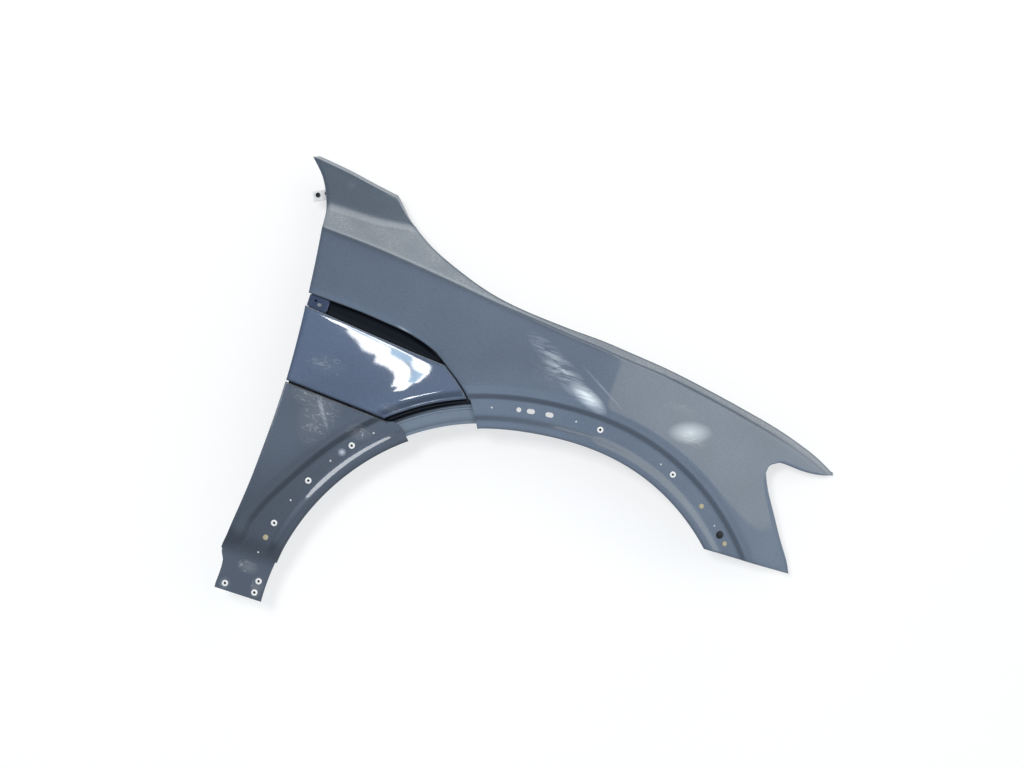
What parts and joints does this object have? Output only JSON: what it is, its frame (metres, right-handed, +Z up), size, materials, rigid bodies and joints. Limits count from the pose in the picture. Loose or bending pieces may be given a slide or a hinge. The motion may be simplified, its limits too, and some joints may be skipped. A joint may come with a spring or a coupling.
{
  "type": "car fender",
  "caption": "Right front fender of a large car: wing panel with wheel arch, vent panel, trim blade, air outlet and a lower rear panel reaching the sill.",
  "frame": {"origin": "underside of the middle bolt land on the bonnet-side flange, beside its hole; the part is drawn as it hangs on the car", "axes": "+X forward, +Y inboard, +Z up, so the painted outer face looks along -Y"},
  "size_m": [1.0761, 0.1809, 0.7799],
  "materials": {
    "black_nylon": "matte",
    "black_steel": "satin",
    "body_paint": "gloss",
    "cream_nylon": "satin",
    "gloss_black": "gloss",
    "grey_moulding": "satin",
    "painted_plastic": "gloss",
    "white_nylon": "satin",
    "zinc_steel": "satin"
  },
  "bodies": {
    "root": {"air_outlet": "grey_moulding", "arch_clip": "cream_nylon", "arch_grommet_1": "white_nylon", "arch_grommet_2": "white_nylon", "arch_grommet_3": "white_nylon", "arch_grommet_4": "white_nylon", "arch_grommet_5": "white_nylon", "arch_plug": "black_nylon", "carrier": "black_nylon", "clip_stub_1": "cream_nylon", "clip_stub_2": "cream_nylon", "join_nut_1": "black_steel", "join_nut_2": "black_steel", "join_nut_3": "black_steel", "join_nut_4": "black_steel", "join_screw_1": "black_steel", "join_screw_2": "black_steel", "join_screw_3": "black_steel", "join_screw_4": "black_steel", "lower_panel": "body_paint", "outlet_screw_1": "zinc_steel", "outlet_screw_2": "zinc_steel", "pillar_bracket": "white_nylon", "pillar_clip": "black_nylon", "pillar_rivet": "black_nylon", "sill_grommet_1": "white_nylon", "sill_grommet_2": "white_nylon", "sill_grommet_3": "white_nylon", "tab_screw": "zinc_steel", "trim_blade": "gloss_black", "trim_tab": "body_paint", "vent_panel": "painted_plastic", "vent_screw_1": "zinc_steel", "vent_screw_2": "zinc_steel", "vent_screw_3": "zinc_steel", "vent_screw_4": "zinc_steel", "wing_panel": "body_paint"}
  },
  "joints": []
}
